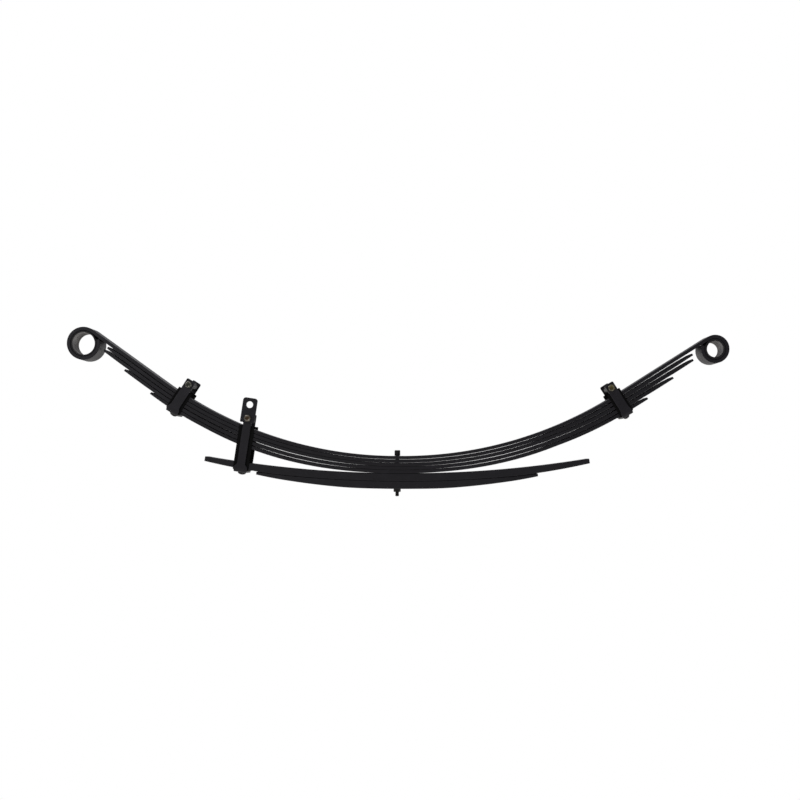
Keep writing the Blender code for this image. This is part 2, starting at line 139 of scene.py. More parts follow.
def make_room():
    world = bpy.data.worlds.new("room")
    bpy.context.scene.world = world
    world.use_nodes = True
    tree = world.node_tree
    white = glow_node(tree, "ShaderNodeBackground", (1, 1, 1), 1)
    dim = glow_node(tree, "ShaderNodeBackground", (0.94, 0.92, 1), ROOM_GLOW)
    white_to_camera(tree, white, dim, tree.nodes["World Output"])
    bpy.context.scene.view_settings.view_transform = "Standard"
    return world


def make_panel(name, place, target, size, watts):
    light = bpy.data.lights.new(name, "AREA")
    light.shape = "RECTANGLE"
    light.size, light.size_y = size
    light.energy = watts
    panel = bpy.data.objects.new(name, light)
    panel.location = place
    panel.rotation_euler = (Vector(target) - Vector(place)).to_track_quat("-Z", "Y").to_euler()
    panel.visible_camera = False
    bpy.context.scene.collection.objects.link(panel)
    return panel


def make_floor():
    level = cad_box[0].z - FLOOR_DROP
    mesh = bpy.data.meshes.new("floor")
    corners = [(x * FLOOR_REACH, y * FLOOR_REACH, level) for x, y in ((-1, -1), (1, -1), (1, 1), (-1, 1))]
    mesh.from_pydata(corners, [], [(0, 1, 2, 3)])
    floor = bpy.data.objects.new("floor", mesh)
    bpy.context.scene.collection.objects.link(floor)
    paper = bpy.data.materials.new("white_paper")
    paper.use_nodes = True
    tree = paper.node_tree
    white = glow_node(tree, "ShaderNodeEmission", (1, 1, 1), 1)
    dim = glow_node(tree, "ShaderNodeEmission", (1, 0.98, 0.96), FLOOR_GLOW)
    white_to_camera(tree, white, dim, tree.nodes["Material Output"])
    mesh.materials.append(paper)
    return floor


make_room()
make_floor()
for panel in PANELS:
    make_panel(*panel)
print("floor at", round(cad_box[0].z - FLOOR_DROP, 3))

# %% [markdown]
# ## A small language for materials
# A material is a graph of nodes, and long graphs are hard to read as code. `Wire` wraps one output socket so
# that ordinary sums add Math nodes, and `Finish.node` makes any other node from its type, its settings and
# its inputs. Colours go through `blend`, because a Math node would turn them grey.


# %% Wires and finishes
class Wire:
    """One output of a node, usable in sums."""

    def __init__(self, finish, socket):
        self.finish, self.socket = finish, socket

    def maths(self, operation, *values):
        return self.finish.node("ShaderNodeMath", {"operation": operation}, dict(enumerate(values)))

    def __add__(self, other):
        return self.maths("ADD", self, other)

    def __sub__(self, other):
        return self.maths("SUBTRACT", self, other)

    def __rsub__(self, other):
        return self.maths("SUBTRACT", other, self)

    def __mul__(self, other):
        return self.maths("MULTIPLY", self, other)

    __radd__ = __add__
    __rmul__ = __mul__


class Finish:
    """A material under construction around its Principled shader."""

    def __init__(self, name, colour, roughness, metallic=0.0):
        self.material = bpy.data.materials.new(name)
        self.material.use_nodes = True
        self.tree = self.material.node_tree
        self.shader = self.tree.nodes["Principled BSDF"]
        self.set("Base Color", colour)
        self.set("Roughness", roughness)
        self.set("Metallic", metallic)
        self.material.diffuse_color = (*colour, 1)

    def put(self, socket, value):
        if isinstance(value, Wire):
            self.tree.links.new(value.socket, socket)
        elif socket.type == "RGBA":
            socket.default_value = (*value, 1)
        else:
            socket.default_value = value

    def set(self, name, value):
        self.put(self.shader.inputs[name], value)

    def node(self, kind, settings=None, inputs=None, output=0):
        made = self.tree.nodes.new(kind)
        for key, value in (settings or {}).items():
            setattr(made, key, value)
        for key, value in (inputs or {}).items():
            self.put(made.inputs[key], value)
        return Wire(self, made.outputs[output])

    def place(self):
        """Where a point is on the piece, in metres."""
        return self.node("ShaderNodeTexCoord", output="Object")

    def mark(self, name):
        """A number stored on the mesh, such as how near a point is to an edge."""
        return self.node("ShaderNodeAttribute", {"attribute_name": name}, output="Fac")

    def noise(self, per_metre, detail=2.0, vector=None, rough=0.5):
        inputs = {"Vector": vector or self.place(), "Scale": per_metre, "Detail": detail, "Roughness": rough}
        return self.node("ShaderNodeTexNoise", inputs=inputs)

    def between(self, value, low, high, start=0.0, end=1.0):
        """A soft step: start below low, end above high."""
        settings = {"interpolation_type": "SMOOTHSTEP"}
        inputs = {"Value": value, "From Min": low, "From Max": high, "To Min": start, "To Max": end}
        return self.node("ShaderNodeMapRange", settings, inputs)

    def blend(self, share, first, second):
        settings = {"data_type": "RGBA", "clamp_factor": True}
        return self.node("ShaderNodeMix", settings, {0: share, 6: first, 7: second}, output=2)

    def bump(self, height, distance, strength=1.0):
        inputs = {"Height": height, "Distance": distance, "Strength": strength}
        self.set("Normal", self.node("ShaderNodeBump", inputs=inputs))


print("operators ready")

# %% [markdown]
# ## Spring paint
# Leaves are shot-peened, which leaves fine dimples, and then dipped or sprayed with satin black. So the paint
# gets two sizes of dimples in its bump, a roughness that drifts slowly, a faint lengthwise grain from
# rolling, and edges rubbed a little lighter, where `edge` marks the rounded corners of each leaf.


# %% Spring paint
def make_spring_paint(name, colour, rubbed, roughness):
    paint = Finish(name, colour, roughness)
    drift = paint.noise(14, 3)
    grain_place = paint.node("ShaderNodeMapping", inputs={"Vector": paint.place(), "Scale": (6, 500, 60)})
    grain = paint.noise(1, 2, grain_place)
    peened = paint.noise(900, 2)
    coarse = paint.noise(260, 2)
    worn = paint.mark("edge") * paint.between(paint.noise(70, 4, rough=0.7), 0.42, 0.7)
    dust = paint.between(paint.noise(32, 5, rough=0.65), 0.45, 0.75)
    body = paint.blend(dust * 0.7, colour, [c * 1.8 + 0.004 for c in colour])
    paint.set("Base Color", paint.blend(worn * 0.8, body, rubbed))
    paint.set("Roughness", drift * 0.16 + grain * 0.08 + dust * 0.06 + (roughness - 0.13))
    paint.bump(peened * 0.5 + coarse + grain * 0.4, 0.00008, 0.5)
    return paint.material


SPRING_PAINT = make_spring_paint("spring_paint", (0.0098, 0.0088, 0.0136), (0.034, 0.032, 0.037), 0.42)
CLIP_PAINT = make_spring_paint("clip_paint", (0.0125, 0.0112, 0.0168), (0.042, 0.040, 0.047), 0.40)
print(SPRING_PAINT.name, CLIP_PAINT.name)

# %% [markdown]
# ## Liner rubber
# The liners are cut from moulded strip, matt and slightly dusty, with a fine grain and no gloss at all.


# %% Liner rubber
def make_liner_rubber():
    rubber = Finish("liner_rubber", (0.008, 0.008, 0.008), 0.8)
    bloom = rubber.between(rubber.noise(60, 4), 0.5, 0.8)
    rubber.set("Base Color", rubber.blend(bloom * 0.4, (0.004, 0.004, 0.004), (0.014, 0.014, 0.013)))
    rubber.set("Roughness", bloom * 0.1 + 0.76)
    rubber.bump(rubber.noise(1500, 3), 0.0001, 0.5)
    rubber.set("Specular IOR Level", 0.2)
    return rubber.material


LINER_RUBBER = make_liner_rubber()
print(LINER_RUBBER.name)

# %% [markdown]
# ## Bush steel
# The ring in each eye is bored in a lathe, so its bore keeps fine rings round the axis, which runs along Y.
# Its end faces and rim were painted over with the spring. The `bore` mark separates bare steel from paint.


# %% Bush steel
def make_bush_steel():
    steel = Finish("bush_steel", (0.36, 0.335, 0.30), 0.38, 1.0)
    bare = steel.mark("bore")
    along = steel.node("ShaderNodeSeparateXYZ", inputs={0: steel.place()}, output=1)
    turning = {"W": along, "Scale": 900, "Detail": 3}
    rings = steel.node("ShaderNodeTexNoise", {"noise_dimensions": "1D"}, turning)
    stain = steel.between(steel.noise(38, 3), 0.4, 0.75)
    oiled = steel.blend(stain * 0.5, (0.23, 0.22, 0.215), (0.12, 0.113, 0.108))
    steel.set("Base Color", steel.blend(bare, (0.012, 0.0115, 0.014), oiled))
    steel.set("Metallic", bare * 0.85)
    steel.set("Roughness", bare * 0.08 + rings * 0.14 + stain * 0.1 + 0.30)
    steel.bump(rings * bare + steel.noise(260, 2) * 0.3, 0.00005, 0.35)
    return steel.material


BUSH_STEEL = make_bush_steel()
print(BUSH_STEEL.name)

# %% [markdown]
# ## Zinc plate
# Bolts are zinc plated and passivated. The film's thickness varies, which shows as drifts of yellow, green
# and rose over bright metal.


# %% Zinc plate
def make_zinc(name, main, drifted, roughness):
    zinc = Finish(name, main, roughness, 1.0)
    film = zinc.between(zinc.noise(220, 3), 0.4, 0.65)
    rose = zinc.between(zinc.noise(310, 2), 0.55, 0.75)
    tinted = zinc.blend(film, main, drifted)
    tinted = zinc.blend(rose * 0.3, tinted, (0.17, 0.10, 0.08))
    rubbed = zinc.mark("edge") * zinc.between(zinc.noise(400, 3), 0.35, 0.6)
    zinc.set("Base Color", zinc.blend(rubbed * 0.8, tinted, (0.42, 0.41, 0.36)))
    zinc.set("Roughness", zinc.noise(500, 3) * 0.2 + (roughness - 0.1))
    zinc.bump(zinc.noise(1800, 2), 0.00005, 0.5)
    return zinc.material


YELLOW_ZINC = make_zinc("yellow_zinc", (0.20, 0.155, 0.06), (0.15, 0.15, 0.065), 0.34)
GREEN_ZINC = make_zinc("green_zinc", (0.085, 0.086, 0.07), (0.06, 0.068, 0.05), 0.36)
BRONZED_ZINC = make_zinc("bronzed_zinc", (0.12, 0.075, 0.045), (0.085, 0.07, 0.04), 0.36)
print(YELLOW_ZINC.name, GREEN_ZINC.name, BRONZED_ZINC.name)

# %% [markdown]
# ## Dark steel
# The centre bolt, the rivets and the spacer tubes are black: phosphated or painted over, with an oily sheen
# and bare metal just showing on their corners.


# %% Dark steel
def make_dark_steel():
    steel = Finish("dark_steel", (0.012, 0.0115, 0.013), 0.5, 0.0)
    cloud = steel.between(steel.noise(120, 4), 0.4, 0.7)
    worn = steel.mark("edge") * steel.between(steel.noise(300, 4, rough=0.7), 0.4, 0.62)
    film = steel.blend(cloud * 0.6, (0.009, 0.0086, 0.010), (0.020, 0.0185, 0.018))
    steel.set("Base Color", steel.blend(worn * 0.6, film, (0.09, 0.086, 0.082)))
    steel.set("Metallic", worn * 0.6)
    steel.set("Roughness", cloud * 0.14 + 0.42)
    steel.bump(steel.noise(1200, 3), 0.00008, 0.5)
    return steel.material


DARK_STEEL = make_dark_steel()
print(DARK_STEEL.name)

# %% [markdown]
# ## Meshes from loops
# Every piece of a spring is rolled, bent or turned, so one tool serves them all: a surface through a row of
# loops with the same number of points. `marks` stores a number for each point, which the finishes read.


# %% Loft
def loft(name, loops, finish, closed=False, marks=None, sharp=40):
    """A mesh through loops of points. A closed row joins its last loop to its first; any other is capped."""
    mesh = bpy.data.meshes.new(name)
    count = len(loops[0])
    points = [point for loop in loops for point in loop]
    faces = []
    rows = len(loops)
    for row in range(rows if closed else rows - 1):
        here, there = row * count, (row + 1) % rows * count
        pairs = [(n, (n + 1) % count) for n in range(count)]
        faces += [(here + n, here + m, there + m, there + n) for n, m in pairs]
    if not closed:
        faces += [tuple(range(count))[::-1], tuple(range((rows - 1) * count, rows * count))]
    mesh.from_pydata(points, [], faces)
    for mark, values in (marks or {}).items():
        layer = mesh.attributes.new(mark, "FLOAT", "POINT")
        layer.data.foreach_set("value", [value for loop in values for value in loop])
    shape = bmesh.new()
    shape.from_mesh(mesh)
    bmesh.ops.recalc_face_normals(shape, faces=shape.faces)
    shape.to_mesh(mesh)
    shape.free()
    mesh.shade_smooth()
    mesh.set_sharp_from_angle(angle=math.radians(sharp))
    mesh.materials.append(finish)
    piece = bpy.data.objects.new(name, mesh)
    bpy.context.scene.collection.objects.link(piece)
    return piece


def settle(piece):
    """Applies a piece's modifiers to its mesh."""
    graph = bpy.context.evaluated_depsgraph_get()
    done = bpy.data.meshes.new_from_object(piece.evaluated_get(graph))
    piece.modifiers.clear()
    piece.data = done
    return piece


def drill(piece, place, radius, reach, steps=32):
    """A round hole through a piece, along the Z axis of a place."""
    angles = [math.tau * n / steps for n in range(steps)]
    ring = [(radius * math.cos(a), radius * math.sin(a)) for a in angles]
    ends = [[place @ Vector((x, y, z)) for x, y in ring] for z in (-reach, reach)]
    cutter = loft("cutter", ends, piece.data.materials[0])
    cut = piece.modifiers.new("hole", "BOOLEAN")
    cut.operation, cut.solver, cut.object = "DIFFERENCE", "EXACT", cutter
    settle(piece)
    bpy.data.objects.remove(cutter)
    piece.data.set_sharp_from_angle(angle=math.radians(40))
    return piece


print("loft ready")

# %% [markdown]
# ## A flat bar's cross-section
# Leaf steel and strap steel are flat bars with rounded corners. One function draws that outline between the
# middles of two opposite faces. Extra points beside each corner keep the wide faces flat when shaded smooth.

# %% Bar outline
CORNER_TURNS = [math.radians(a) for a in (0, 22.5, 45, 67.5, 90)]
CORNER_MARKS = [0.4, 0.9, 1.0, 0.9, 0.4]


def bar_outline(upper, lower, across, half_width, corner):
    """Points round a bar and how near each is to a corner. upper and lower are the middles of two faces."""
    middle, up = (upper + lower) / 2, (upper - lower)
    half_height = up.length / 2
    up.normalize()
    corner = min(corner, half_height * 0.8, half_width * 0.8)
    flat = corner + 0.6 * MM
    points, marks = [], []
    for side, rise in ((1, 1), (-1, 1), (-1, -1), (1, -1)):
        ends = [(half_width, max(half_height - flat, 0)), (max(half_width - flat, 0), half_height)]
        arc = [
            (half_width - corner * (1 - math.cos(a)), half_height - corner * (1 - math.sin(a)))
            for a in CORNER_TURNS
        ]
        row = list(zip([ends[0], *arc, ends[1]], [0.0, *CORNER_MARKS, 0.0]))
        # Going round, each corner is met from its side face or from its top face in turn.
        for (out, height), mark in row if side * rise > 0 else row[::-1]:
            points.append(middle + across * (side * out) + up * (rise * height))
            marks.append(mark)
    return points, marks


print("points round a bar:", len(bar_outline(Vector((0, 0, 1)), Vector(), Vector((0, 1, 0)), 1, 0.1)[0]))

# %% [markdown]
# ## Reading a leaf from the frame
# A leaf's node is a strip of flat facets. Its edges that run straight across it, the rungs, come in order:
# out from the seat along the top, round the tip or the rolled eye, and back along the underside. Rungs that
# face each other make one section, and curves through the sections give a leaf without facets.

# %% Leaf sections
ACROSS = Vector((0, 1, 0))
SHORTEST_RUNG = 30 * MM


def flat_around(rung):
    """The corners of the flat areas on both sides of a rung. A drilled area is many faces in one plane."""
    waiting, seen, corners = list(rung.link_faces), set(rung.link_faces), set()
    while waiting:
        face = waiting.pop()
        corners.update(face.verts)
        for near in (near for edge in face.edges for near in edge.link_faces):
            if near not in seen and near.normal.dot(face.normal) > 0.999999:
                seen.add(near)
                waiting.append(near)
    return corners


def rungs_of(node, side):
    """(middle point, half length) of one half's rungs, from the top of the seat to the bottom of the seat."""
    shape = bmesh.new()
    shape.from_mesh(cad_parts[node].data)
    bmesh.ops.remove_doubles(shape, verts=shape.verts, dist=0.005 * MM)
    shape.normal_update()
    owner, rungs = {}, []
    for edge in shape.edges:
        a, b = edge.verts[0].co, edge.verts[1].co
        straight = abs(a.x - b.x) < 0.01 * MM and abs(a.z - b.z) < 0.01 * MM
        if straight and abs(a.y - b.y) > SHORTEST_RUNG and a.x * side > 0:
            owner[edge.verts[0]] = owner[edge.verts[1]] = len(rungs)
            rungs.append(edge)
    nearest = min(abs(rung.verts[0].co.x) for rung in rungs)
    seat = [n for n, rung in enumerate(rungs) if abs(rung.verts[0].co.x) < nearest + 0.1 * MM]
    order = [max(seat, key=lambda n: rungs[n].verts[0].co.z)]
    while True:
        here = rungs[order[-1]]
        reached = {owner[v] for v in flat_around(here) if v in owner} - set(order)
        if not reached:
            break
        order.append(min(reached, key=lambda n: (rungs[n].verts[0].co - here.verts[0].co).xz.length))
    rows = [((rungs[n].verts[0].co + rungs[n].verts[1].co) / 2, rungs[n].calc_length() / 2) for n in order]
    shape.free()
    return rows


def sections_of(node, side):
    """(upper point, lower point, half width) from the centre bolt to the tip."""
    rows = rungs_of(node, side)
    half = len(rows) // 2
    found = [(rows[n][0], rows[-1 - n][0], rows[n][1]) for n in range(half)]
    upper, lower, width = found[0]
    return [(Vector((0, 0, upper.z)), Vector((0, 0, lower.z)), width)] + found


def curve_between(before, start, end, after, share):
    """A smooth curve through four points, between the middle two."""
    ahead, behind = (end - before) * 0.5, (after - start) * 0.5
    t, tt, ttt = share, share**2, share**3
    near = start * (2 * ttt - 3 * tt + 1) + ahead * (ttt - 2 * tt + t)
    return near + end * (3 * tt - 2 * ttt) + behind * (ttt - tt)


def refined(sections, pieces):
    """The same sections with curved ones between them."""
    made = []
    last = len(sections) - 1
    for n in range(last):
        four = [sections[min(max(n + step, 0), last)] for step in (-1, 0, 1, 2)]
        even = 0.5 < (four[1][0] - four[0][0]).length / max((four[2][0] - four[1][0]).length, MM) < 2
        for part in range(pieces if even else 1):
            share = part / pieces
            upper, lower = (curve_between(*[row[face] for row in four], share) for face in (0, 1))
            made.append((upper, lower, four[1][2] * (1 - share) + four[2][2] * share))
    return made + [sections[-1]]


for name in ("main_leaf", "second_leaf", "upper_overload_leaf"):
    print(name, "sections:", len(sections_of(name, -1)), len(sections_of(name, 1)))

# %% [markdown]
# ## The five main leaves
# Their corners have the radius of a rolled bar's edge, and the cut tip is broken all round.

# %% Main leaves
MAIN_LEAVES = ("main_leaf", "second_leaf", "third_leaf", "fourth_leaf", "fifth_leaf")
LEAF_CORNER = 0.6 * MM
BETWEEN = 3  # curved pieces made from one stretch between two sections
TIP_BREAK = 0.5 * MM
HOLE_RADIUS = 4.4 * MM
THROUGH = 0.1  # a drill's reach each way, past every side of a piece
IN_BASE = 0.01  # and for a hole in one wall only


def leaf_loops(sections, corner):
    """Outlines along a leaf, the last one drawn in to break the edges of the cut tip."""
    rows = [bar_outline(upper, lower, ACROSS, width, corner) for upper, lower, width in sections]
    upper, lower, width = sections[-1]
    ahead = ((upper - sections[-2][0]) + (lower - sections[-2][1])).normalized()
    up = (upper - lower).normalized()
    inner = bar_outline(upper - up * TIP_BREAK, lower + up * TIP_BREAK, ACROSS, width - TIP_BREAK, corner)
    rows[-1] = ([point - ahead * TIP_BREAK for point in rows[-1][0]], rows[-1][1])
    rows.append((inner[0], [1.0] * len(inner[1])))
    return [row[0] for row in rows], [row[1] for row in rows]


def make_half_leaf(node, side):
    loops, marks = leaf_loops(refined(sections_of(node, side), BETWEEN), LEAF_CORNER)
    end = "front" if side < 0 else "rear"
    half = loft(f"{node}_{end}_half", loops, SPRING_PAINT, marks={"edge": marks})
    drill(half, Matrix.Identity(4), HOLE_RADIUS, THROUGH)
    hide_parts(node)
    return half


halves = {(node, side): make_half_leaf(node, side) for node in MAIN_LEAVES for side in (-1, 1)}
print("half leaves:", len(halves), "faces in the main one:", len(halves["main_leaf", -1].data.polygons))

# %% [markdown]
# ## The two overload leaves
# These are thick, nearly flat and stay put, so each is one piece that rides on the clamped middle.

# %% Overload leaves
OVERLOAD_CORNER = 1.0 * MM


def make_overload_leaf(node):
    front, rear = (leaf_loops(refined(sections_of(node, side), BETWEEN), OVERLOAD_CORNER) for side in (-1, 1))
    loops, marks = (a[:0:-1] + b for a, b in zip(front, rear))
    leaf = loft(node + "_bar", loops, SPRING_PAINT, marks={"edge": marks})
    drill(leaf, Matrix.Identity(4), HOLE_RADIUS, THROUGH)
    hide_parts(node)
    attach(leaf, "centre_pack")
    return leaf


overload_leaves = {node: make_overload_leaf(node) for node in ("upper_overload_leaf", "lower_overload_leaf")}
print("overload leaves:", list(overload_leaves))

# %% [markdown]
# ## Turned and hexagonal pieces
# Bolts, nuts, rivets and bushes are all turned about an axis. A row of a turned piece is a radius and a
# height, and either may change with the angle round the axis: that is all a hexagon or a thread needs.


# %% Turning
def turned(name, place, rows, finish, closed=False, marks=None, steps=48, sharp=35):
    """Rows of (radius, height) round the Z axis of a place. Either may be a function of the angle."""
    loops = []
    for radius, height in rows:
        loop = []
        for n in range(steps):
            angle = math.tau * n / steps
            r = radius(angle) if callable(radius) else radius
            z = height(angle) if callable(height) else height
            loop.append(place @ Vector((r * math.cos(angle), r * math.sin(angle), z)))
        loops.append(loop)
    marks = {mark: [[value] * steps for value in values] for mark, values in (marks or {}).items()}
    return loft(name, loops, finish, closed, marks, sharp)


def hexagon(flats):
    """The radius of a hexagon at an angle, from half the distance across its flats."""
    sixth = math.tau / 6
    return lambda angle: flats / math.cos(angle % sixth - sixth / 2)


def chamfer_height(flats, face, outwards):
    """Where a turned chamfer meets the flats: lower at the corners, so each flat ends in an arc."""
    reach = hexagon(flats)
    return lambda angle: face - outwards * (reach(angle) - flats * 0.96) * math.tan(math.radians(30))


MOUTH_CHAMFER = 0.6 * MM


def hex_rows(flats, low, high, bore=0.0, both=True):
    """A hexagonal block from low to high, its upper edge chamfered and its lower one too if both is set."""
    rows = [(flats * 0.96, high), (hexagon(flats), chamfer_height(flats, high, 1))]
    if both:
        rows += [(hexagon(flats), chamfer_height(flats, low, -1)), (flats * 0.96, low)]
    else:
        rows += [(hexagon(flats), low)]
    if bore:
        wide = bore + MOUTH_CHAMFER
        rows += [(wide, low), (bore, low + MOUTH_CHAMFER), (bore, high - MOUTH_CHAMFER), (wide, high)]
    return rows


def thread_rows(radius, start, end, pitch=1.25 * MM):
    """A screw thread from start to end, as rows whose radius goes round with the helix."""
    steps = max(2, round(abs(end - start) / pitch * 6))
    depth = 0.55 * pitch

    def cut(height):
        def at(angle):
            turn = (height / pitch - angle / math.tau) % 1
            return radius - depth * (1 - abs(2 * turn - 1))

        return at

    heights = [start + (end - start) * n / steps for n in range(steps + 1)]
    return [(cut(height), height) for height in heights]


print("turning ready")

# %% [markdown]
# ## Centre bolt and nut
# The centre bolt clamps the leaves into one pack. Its round head is a dowel that drops into the axle pad, so
# it is plain and chamfered. Below the nut a length of thread is left over.

# %% Centre bolt and nut
BOLT_RADIUS = 4 * MM
HALF_FLATS = 6.5 * MM


def make_centre_bolt():
    low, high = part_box("centre_bolt")
    nut_low, nut_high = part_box("centre_nut")
    head = high.x
    rows = [
        (head * 0.45, high.z), (head * 0.78, high.z), (head, high.z - 1.2 * MM), (head, 0.9 * MM),
        (head - 0.5 * MM, 0.4 * MM), (BOLT_RADIUS, 0.4 * MM), (BOLT_RADIUS, nut_high.z + 3 * MM),
    ]
    plain = len(rows)
    rows += thread_rows(BOLT_RADIUS, nut_high.z + 2 * MM, low.z + 1 * MM)
    rows += [(BOLT_RADIUS - 1 * MM, low.z)]
    edges = [0, 1, 1, 0, 0, 0, 0] + [0.5] * (len(rows) - plain)
    bolt = turned("centre_bolt_turned", Matrix.Identity(4), rows, DARK_STEEL, marks={"edge": edges})
    nut_rows = hex_rows(HALF_FLATS, nut_low.z, nut_high.z, BOLT_RADIUS + 0.1 * MM)
    nut_marks = {"edge": [1, 0.6] * 4}
    nut = turned("centre_nut_hex", Matrix.Identity(4), nut_rows, DARK_STEEL, closed=True, marks=nut_marks)
    for piece, node in ((bolt, "centre_bolt"), (nut, "centre_nut")):
        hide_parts(node)
        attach(piece, "centre_pack")
    return bolt


print("centre bolt faces:", len(make_centre_bolt().data.polygons))

# %% [markdown]
# ## Eye bushes
# Each rolled eye holds a pressed-in steel ring. Its mouth is chamfered to lead a bush in, and the bore is
# turned in two passes, which leaves a shallow step and four fine grooves.


# %% Eye bushes
BUSH_INSET = 0.9 * MM  # behind the leaf's edge, so that the eye's own rounded lip shows
BUSH_BORES = {"front": 23.4 * MM, "rear": 17.0 * MM}
BUSH_CHAMFER = 0.9 * MM
GROOVES = 4
GROOVE_SPACING = 4 * MM


def make_eye_bush(end):
    low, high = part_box(end + "_eye_bush")
    centre = (low + high) / 2
    outer, half = (high.x - low.x) / 2, (high.y - low.y) / 2 - BUSH_INSET
    bore, chamfer = BUSH_BORES[end], BUSH_CHAMFER
    place = Matrix.Translation(centre) @ Matrix.Rotation(math.pi / 2, 4, "X")
    rows = [(bore + chamfer, half), (bore + 0.3 * MM, half - chamfer)]
    rows += [(bore, half - chamfer - 0.4 * MM), (bore, half * 0.25), (bore + 0.5 * MM, half * 0.22)]
    for n in range(GROOVES):
        top = half * 0.12 - n * GROOVE_SPACING
        rows += [(bore + 0.5 * MM, top), (bore + 0.9 * MM, top - 0.5 * MM), (bore + 0.5 * MM, top - 1.0 * MM)]
    rows += [(bore + 0.5 * MM, -half * 0.62), (bore, -half * 0.65), (bore, -half + chamfer + 0.4 * MM)]
    rows += [(bore + 0.3 * MM, chamfer - half), (bore + chamfer, -half)]
    bare = [0.0, 0.3] + [1.0] * (len(rows) - 4) + [0.3, 0.0]
    rim = 0.8 * MM
    rows += [(outer - rim, -half), (outer, rim - half), (outer, half - rim), (outer - rim, half)]
    bare += [0.0] * 4
    ring = turned(end + "_eye_ring", place, rows, BUSH_STEEL, closed=True, marks={"bore": bare}, steps=96)
    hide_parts(end + "_eye_bush")
    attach(ring, end + "_arm")
    return ring


for end in ("front", "rear"):
    print(make_eye_bush(end).name)

# %% [markdown]
# ## The frame of a clip
# A clip stands square to its leaf, so its parts are simplest in the clip's own axes: Z from the rivet to the
# bolt, Y across the leaves and the origin on the bolt. Both points are read from the nodes.


# %% Clip frame
def middle_of(node):
    low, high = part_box(node)
    return (low + high) / 2


def clip_place(clip):
    bolt, rivet = middle_of(clip + "_tube"), middle_of(clip + "_rivet")
    up = Vector((bolt.x - rivet.x, 0, bolt.z - rivet.z)).normalized()
    place = Matrix((ACROSS.cross(up), ACROSS, up)).transposed().to_4x4()
    place.translation = Vector((bolt.x, 0, bolt.z))
    return place


def local_box(node, place):
    """A node's lowest and highest corners in a clip's own axes."""
    inverse = place.inverted()
    points = [inverse @ vertex.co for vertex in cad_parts[node].data.vertices]
    return [Vector([pick(point[axis] for point in points) for axis in range(3)]) for pick in (min, max)]


CLIPS = {"front_clip": "front_arm", "rear_clip": "rear_arm", "long_clip": "centre_pack"}
places = {clip: clip_place(clip) for clip in CLIPS}
for clip, place in places.items():
    print(clip, "leans", round(math.degrees(math.atan2(place.col[2].x, place.col[2].z)), 1), "degrees")

# %% [markdown]
# ## Straps and liners
# A strap is a flat bar bent twice round the leaves. It is a row of outlines too, down the near leg, round two
# bends and up the far leg, with its width changing on the way: broad under the leaves, narrow up the legs and
# rounded at the corners of the ears. The rubber liner is the same shape inside it, thinner and of one width.

# %% Straps and liners
STRAP_STEEL = 4 * MM
STRAP_BEND = 2.5 * MM
LINER_RUBBER_THICK = 2 * MM
LINER_BEND = 0.5 * MM
STRAP_EDGE, LINER_EDGE = 0.9 * MM, 0.7 * MM  # how far their corners are rounded
NARROWS = 6 * MM, 14 * MM  # heights above the base between which a strap narrows to its legs
EAR_CORNER = 3 * MM
LEG_WIDTHS = {"front_clip": 10 * MM, "rear_clip": 10 * MM, "long_clip": 8.5 * MM}


def rounded_end(top, half, corner):
    """(height, half width) down the end of a flat bar with rounded corners, from its top."""
    turns = [math.radians(a) for a in (90, 80, 68, 56, 45, 34, 22, 10, 0)]
    return [(top - corner + corner * math.sin(a), half - corner + corner * math.cos(a)) for a in turns]


def bent_loops(place, low, high, thick, bend, leg_half, end_corner, corner):
    """Outlines of a U with its outer faces at low.y, high.y and low.z, and its legs up to high.z."""
    outer, base, base_half = high.y, low.z, high.x
    rows = []  # (height, half width) down one leg
    if end_corner:
        rows += rounded_end(high.z, leg_half, end_corner)
    else:
        rows += [(high.z, base_half - 1 * MM), (high.z - 1 * MM, base_half)]
    start, end = (base + thick + rise for rise in NARROWS)
    for n in range(9):
        share = n / 8
        ease = share * share * (3 - 2 * share)
        rows.append((end + (start - end) * share, leg_half + (base_half - leg_half) * ease))
    sections = []
    for side in (-1, 1):
        leg = [((side * outer, z), (side * (outer - thick), z), width) for z, width in rows]
        for n in range(9):
            turn = math.radians(90) * n / 8
            across, down = math.cos(turn), math.sin(turn)
            pair = [
                (side * (outer - thick - bend + r * across), base + thick + bend - r * down)
                for r in (bend + thick, bend)
            ]
            leg.append((*pair, base_half))
        sections += leg if side < 0 else leg[::-1]
    along = place.col[0].to_3d()
    loops, marks = [], []
    for outside, inside, half_width in sections:
        ends = [place @ Vector((0, y, z)) for y, z in (outside, inside)]
        points, edge = bar_outline(*ends, along, half_width, corner)
        loops.append(points)
        marks.append(edge)
    return loops, marks


def make_strap(clip):
    place = places[clip]
    low, high = local_box(clip + "_strap", place)
    loops, marks = bent_loops(
        place, low, high, STRAP_STEEL, STRAP_BEND, LEG_WIDTHS[clip], EAR_CORNER, STRAP_EDGE
    )
    strap = loft(clip + "_strap_bent", loops, CLIP_PAINT, marks={"edge": marks})
    drill(strap, place @ Matrix.Rotation(math.pi / 2, 4, "X"), HOLE_RADIUS, THROUGH)
    drill(strap, place @ Matrix.Translation((0, 0, low.z)), HOLE_RADIUS, IN_BASE)
    return strap


def make_liner(clip):
    place = places[clip]
    low, high = local_box(clip + "_liner", place)
    loops, marks = bent_loops(place, low, high, LINER_RUBBER_THICK, LINER_BEND, high.x, 0, LINER_EDGE)
    liner = loft(clip + "_liner_strip", loops, LINER_RUBBER, marks={"edge": marks})
    drill(liner, place @ Matrix.Translation((0, 0, low.z)), HOLE_RADIUS, IN_BASE)
    return liner


def dress(piece, node, body):
    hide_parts(node)
    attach(piece, body)
    return piece


